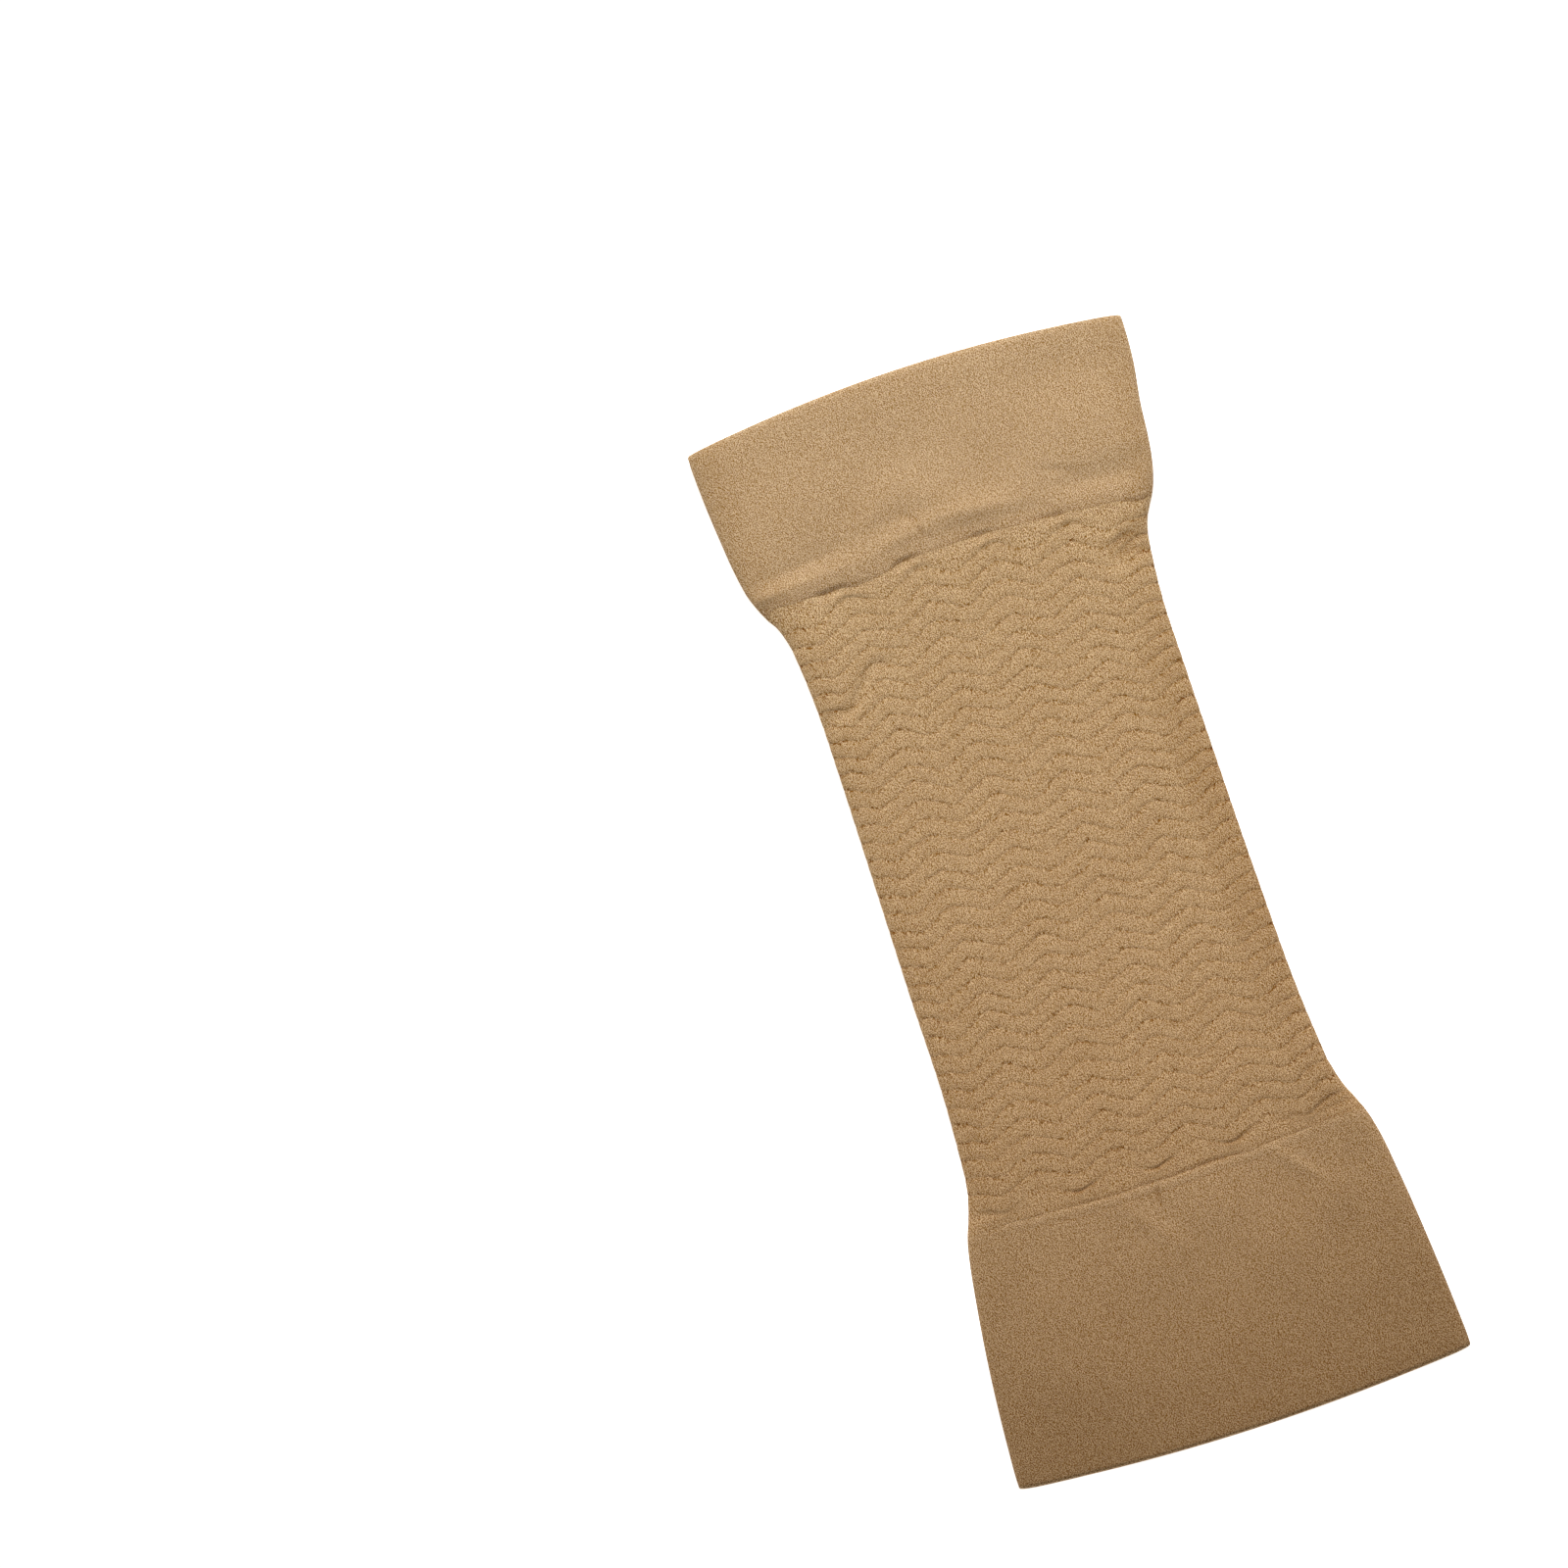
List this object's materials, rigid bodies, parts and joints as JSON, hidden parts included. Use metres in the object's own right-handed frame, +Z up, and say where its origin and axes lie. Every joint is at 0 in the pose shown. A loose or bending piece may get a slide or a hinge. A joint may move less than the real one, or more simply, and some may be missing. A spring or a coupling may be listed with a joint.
{
  "type": "compression arm sleeve",
  "caption": "Seamless knit compression sleeve for the arm, laid flat: short smooth cuff, tube of rippled wave knit, long flared cuff, open at both ends.",
  "frame": {"origin": "on the surface it lies on, under the middle of its bounding box", "axes": "+Y along the sleeve towards the short cuff, +X across it, +Z up through the two layers"},
  "size_m": [0.1234, 0.2898, 0.0051],
  "materials": {
    "cuff_knit": "smooth fine-gauge nylon and elastane knit, doubled, matt with a faint sheen",
    "wave_knit": "single layer of nylon and elastane knit in rows of chevron ripples, matt and grainy"
  },
  "bodies": {
    "root": {"short_cuff": "cuff_knit", "wave_body": "wave_knit", "long_cuff": "cuff_knit"}
  },
  "joints": []
}
